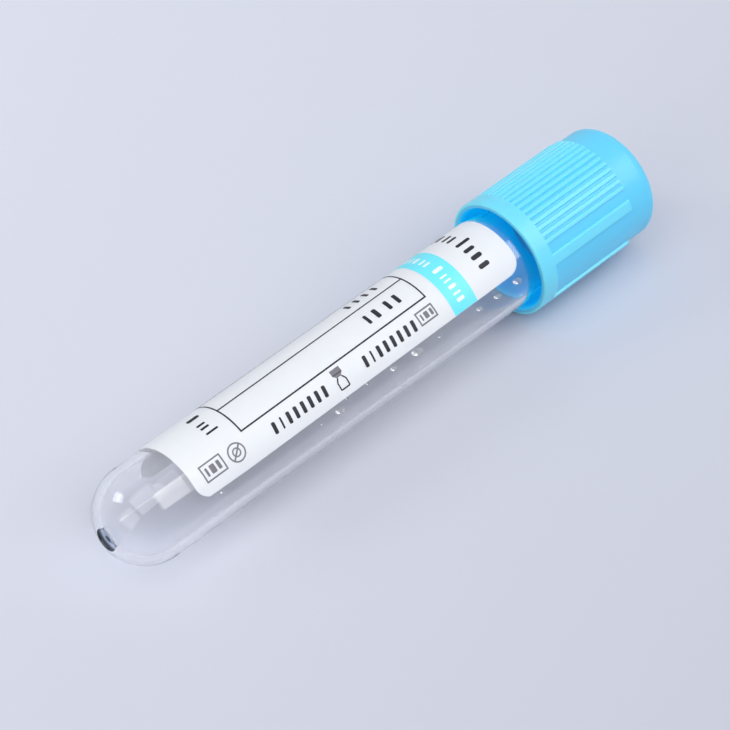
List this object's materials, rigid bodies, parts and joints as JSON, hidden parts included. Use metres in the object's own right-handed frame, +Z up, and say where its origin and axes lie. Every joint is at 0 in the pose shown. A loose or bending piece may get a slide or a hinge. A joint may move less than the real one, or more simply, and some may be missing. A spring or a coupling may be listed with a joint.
{
  "type": "blood collection tube",
  "caption": "Clear round-ended blood collection tube lying on its side, with a wrapped paper label, a rubber stopper and a light blue ribbed pull-off cap, and drops of additive inside.",
  "frame": {"origin": "centre of the bounding box at the level the tube lies on", "axes": "+X along the tube from its round end to its cap, +Z up; the tube lies on its side on z = 0, its axis rising a little towards the wider cap"},
  "size_m": [0.1096, 0.0202, 0.0208],
  "materials": {
    "tube": "clear polished PET",
    "label": "white satin film with plain print",
    "stopper": "matt moulded rubber",
    "cap": "satin moulded polypropylene",
    "citrate_drops": "clear liquid"
  },
  "bodies": {
    "tube_body": {"tube": "tube", "label": "label", "citrate_drops": "citrate_drops"},
    "stopper_body": {"stopper": "stopper"},
    "cap_body": {"cap": "cap"}
  },
  "joints": [
    {"name": "closure_pull", "type": "slide", "parent": "tube_body", "child": "stopper_body", "axis": [0.9996, 0, 0.0283], "range_m": [0, 0.03]},
    {"name": "cap_twist", "type": "hinge", "parent": "stopper_body", "child": "cap_body", "pos_m": [0.04896, 0, 0.01071], "axis": [0.9996, 0, 0.0283], "continuous": true}
  ]
}
